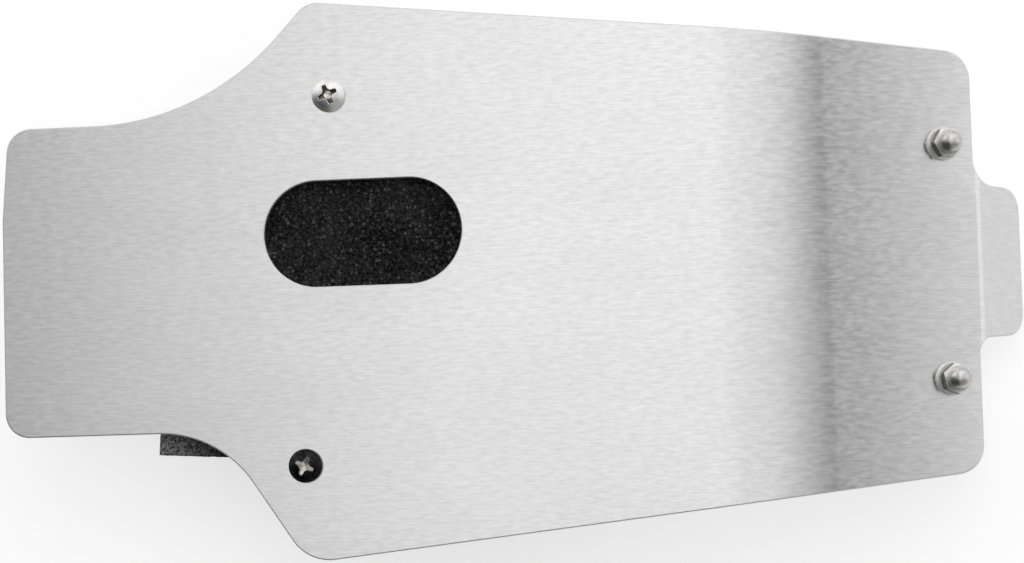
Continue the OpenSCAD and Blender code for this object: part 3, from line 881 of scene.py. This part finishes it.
def make_screw_side(side, name, looks):
    """A screw, its claw, washer, lock nut and ring."""
    x, y = SCREWS[name]
    turn = RECESS_TURN[name]

    def at_screw(v):
        return Vector((x + v.x, y + v.y, v.z))

    def under(drop):
        return lambda v: Vector((x + v.x, y - v.y, WEB_UNDER - drop - v.z))

    left = side > 0
    # The recess gets painted shade on the left screw and a painted highlight on the right one.
    screw_looks = ("bright", "arms", "heart", "zinc") if left else ("black", "painted_recess_highlight", "painted_recess_highlight", "zinc")
    # The right screw's head is painted near black: a painted dark reflection on a plated head that mirrors
    # dark surroundings.
    screw = piece(name + "_pan_screw", placed(screw_shape(turn), at_screw), name + "_screw",
                  "bright_zinc" if left else "black_steel", *(looks[f] for f in screw_looks))
    for p in screw.data.polygons:
        p.material_index = screw_part(p.center / MM - (ORIGIN / MM + Vector((x, y, 0))), turn)
    weighted(screw)
    claw = claw_shape() if left else mirrored(claw_shape())
    for part, shape, node, slot, look in (
            ("_frame_claw", placed(claw, at_screw), "_claw", "claw_steel", "coat"),
            ("_rear_washer", placed(washer_shape(), under(0)), "_claw_washer", "zinc", "zinc"),
            ("_rear_nut", placed(lock_nut_shape(), under(WASHER_T)), "_lock_nut", "zinc", "zinc"),
            ("_nylon_ring", placed(lock_ring_shape(), under(WASHER_T)), "_lock_ring", "nylon", "nylon")):
        weighted(piece(name + part, shape, name + node, slot, looks[look]))


def screw_part(p, turn):
    """Which material a place on a screw gets: 0 head, 1 arms of its recess (painted shade on the left screw,
    painted highlight on the right), 2 their middle, 3 shank.
    """
    if p.z < 0.1 and math.hypot(p.x, p.y) < THREAD_R + 0.1:
        return 3
    if p.z < 1 or cross_depth(p.x, p.y, turn) < 0.25:
        return 0
    return 1 if math.hypot(p.x, p.y) > 1.5 else 2


def make_hook_side(side, name, looks):
    """A hook, its washer and its cap nut."""
    def at_hook(rise):
        return lambda v: on_front(Vector((HOOK_X + v.x, side * HOOK_Y + v.y, v.z + rise)))

    hook = hook_shape() if side > 0 else mirrored(hook_shape())
    weighted(piece(name + "_hook_bolt", placed(hook, at_hook(0)), name + "_hook", "zinc", looks["zinc"]))
    weighted(piece(name + "_front_washer", placed(washer_shape(), at_hook(0)), name + "_hook_washer", "zinc",
                   looks["bright"]))
    nut = piece(name + "_dome_nut", placed(cap_nut_shape(CAP_TURN[name]), at_hook(WASHER_T)),
                name + "_cap_nut", "bright_zinc", looks["nut"], looks["flats"], looks["bright"])
    axis = on_front(Vector((0, 0, 1))) - on_front(Vector((0, 0, 0)))
    foot = at_rest(at_hook(0)(Vector((0, 0, 0))))
    # Painted light on the cap nut: its side faces get a near-black copy of the zinc as a painted dark
    # reflection, and its chamfers get the bright zinc as a painted highlight.
    for p in nut.data.polygons:
        out = p.center - foot
        out -= axis * out.dot(axis)
        if out.length > (COLLAR_R + 0.1) * MM:
            p.material_index = 1 if abs(p.normal.dot(axis)) < 0.3 else 2
    weighted(nut)


# Stage

def make_camera():
    """The camera that was fitted to the outline of the plate in the photograph."""
    turn = (Matrix.Rotation(math.radians(2.0842), 3, "Z") @ Matrix.Rotation(math.radians(-6.5135), 3, "Y")
            @ Matrix.Rotation(math.radians(-3.7375), 3, "X"))
    away = Vector((1.387, 3.18, -950))
    data = bpy.data.cameras.new("camera")
    data.sensor_width = 36
    data.lens = 92.77
    data.clip_end = 60
    obj = bpy.data.objects.new("camera", data)
    bpy.context.scene.collection.objects.link(obj)
    back = turn.transposed()
    obj.matrix_world = Matrix.Translation(at_rest(Vector((190, 0, 0)) - back @ away)) @ back.to_4x4()
    bpy.context.scene.camera = obj


def make_floor():
    """A pale floor that shines white at the camera and still takes the shadow."""
    far = 18
    mesh = bpy.data.meshes.new("floor")
    mesh.from_pydata([(-far, -far, 0), (far, -far, 0), (far, far, 0), (-far, far, 0)], [], [(0, 1, 2, 3)])
    t = Tree("pale_floor")
    t.put(t.shader, Base_Color=grey(0.7), Roughness=0.9)
    light = t.add("ShaderNodeLightPath")
    bounced = t.math("MAXIMUM", light.outputs["Is Glossy Ray"], light.outputs["Is Transmission Ray"])
    seen = t.math("MULTIPLY", light.outputs["Is Camera Ray"], 0.6)
    glow = t.math("ADD", seen, t.math("MULTIPLY", bounced, 0.35))
    t.put(t.shader, Emission_Color=grey(1.0), Emission_Strength=glow)
    mesh.materials.append(t.material)
    obj = bpy.data.objects.new("floor", mesh)
    bpy.context.scene.collection.objects.link(obj)


def make_world():
    """A studio tent, bright overhead, with a dim band to the front and a dim corner at the tail's right."""
    world = bpy.data.worlds.new("studio")
    bpy.context.scene.world = world
    world.use_nodes = True
    nodes, links = world.node_tree.nodes, world.node_tree.links

    def ramp(value, low, high, stops):
        scale = nodes.new("ShaderNodeMapRange")
        scale.inputs["From Min"].default_value = low
        scale.inputs["From Max"].default_value = high
        links.new(value, scale.inputs["Value"])
        node = nodes.new("ShaderNodeValToRGB")
        elements = node.color_ramp.elements
        while len(elements) < len(stops):
            elements.new(0.5)
        for e, (at, level) in zip(elements, stops):
            e.position = (at - low) / (high - low)
            e.color = grey(level)
        links.new(scale.outputs["Result"], node.inputs["Fac"])
        return node.outputs["Color"]

    where = nodes.new("ShaderNodeTexCoord")
    split = nodes.new("ShaderNodeSeparateXYZ")
    links.new(where.outputs["Generated"], split.inputs[0])
    lean = nodes.new("ShaderNodeMath")
    lean.operation = "ARCTAN2"
    links.new(split.outputs["X"], lean.inputs[0])
    links.new(split.outputs["Z"], lean.inputs[1])
    right_angle = math.radians(90)
    along = ramp(lean.outputs[0], -right_angle, right_angle, [(math.radians(a), v) for a, v in ALONG])
    across = ramp(split.outputs["Y"], -1, 1, ACROSS)
    towards = nodes.new("ShaderNodeVectorMath")
    towards.operation = "DOT_PRODUCT"
    links.new(where.outputs["Generated"], towards.inputs[0])
    towards.inputs[1].default_value = Vector(CORNER_AT).normalized()
    corner = ramp(towards.outputs["Value"], -1, 1, CORNER)

    def times(a, b):
        node = nodes.new("ShaderNodeMix")
        node.data_type = "RGBA"
        node.blend_type = "MULTIPLY"
        node.inputs["Factor"].default_value = 1.0
        first, second = [x for x in node.inputs if x.type == "RGBA"]
        links.new(a, first)
        links.new(b, second)
        return [x for x in node.outputs if x.type == "RGBA"][0]

    background = nodes["Background"]
    links.new(times(times(along, across), corner), background.inputs["Color"])
    background.inputs["Strength"].default_value = 1.0


def make_lights():
    """One soft panel high on the left."""
    data = bpy.data.lights.new("side_panel", "AREA")
    data.energy = 3
    data.size = 1.5
    obj = bpy.data.objects.new("side_panel", data)
    bpy.context.scene.collection.objects.link(obj)
    where, to = Vector((0.55, 1.25, 1.2)), Vector((0, 0, 0.05))
    obj.location = where
    obj.rotation_euler = (to - where).to_track_quat("-Z", "Y").to_euler()


looks = {
    "face": brushed_sheet(), "edge": cut_edge(), "foam": foam_material(),
    # Bright zinc, which is also put on the cap nuts' chamfers as a painted highlight.
    "bright": plated("bright_zinc", 0.86, 0.95, 0.36),
    "zinc": plated("satin_zinc", 0.5, 0.66, 0.28),
    "nut": plated("nut_zinc", 0.6, 0.72, 0.28),
    # A near-black copy of the zinc for the cap nuts' side faces: a painted dark reflection.
    "flats": plated("nut_flats", 0.03, 0.07, 0.12),
    # Near black: a painted dark reflection on the right screw's head.
    "black": plated("black_steel", 0.012, 0.035, 0.34),
    # Pale and warm: a painted highlight in the right screw's cross recess, standing in for light mirrored in
    # its walls.
    "painted_recess_highlight": plated("recess_painted_highlight", 0.5, 0.85, 0.32, 0.02, 0.05),
    # Painted shade in the arms of the left screw's cross recess.
    "arms": plated("recess_arms_painted_shade", 0.1, 0.22, 0.45, 0.02, 0.25),
    # A paler, slightly warm middle for the left screw's cross recess.
    "heart": plated("pale_recess_middle", 0.7, 0.9, 0.3, 0.02, 0.08),
    "coat": powder_coat(), "nylon": nylon()}
make_camera()
make_floor()
make_world()
make_lights()
make_plate(looks["face"], looks["edge"])
make_foam(looks["foam"])
for side, name in ((1, "left"), (-1, "right")):
    make_screw_side(side, name, looks)
    make_hook_side(side, name, looks)

bpy.context.scene.view_settings.view_transform = "Standard"
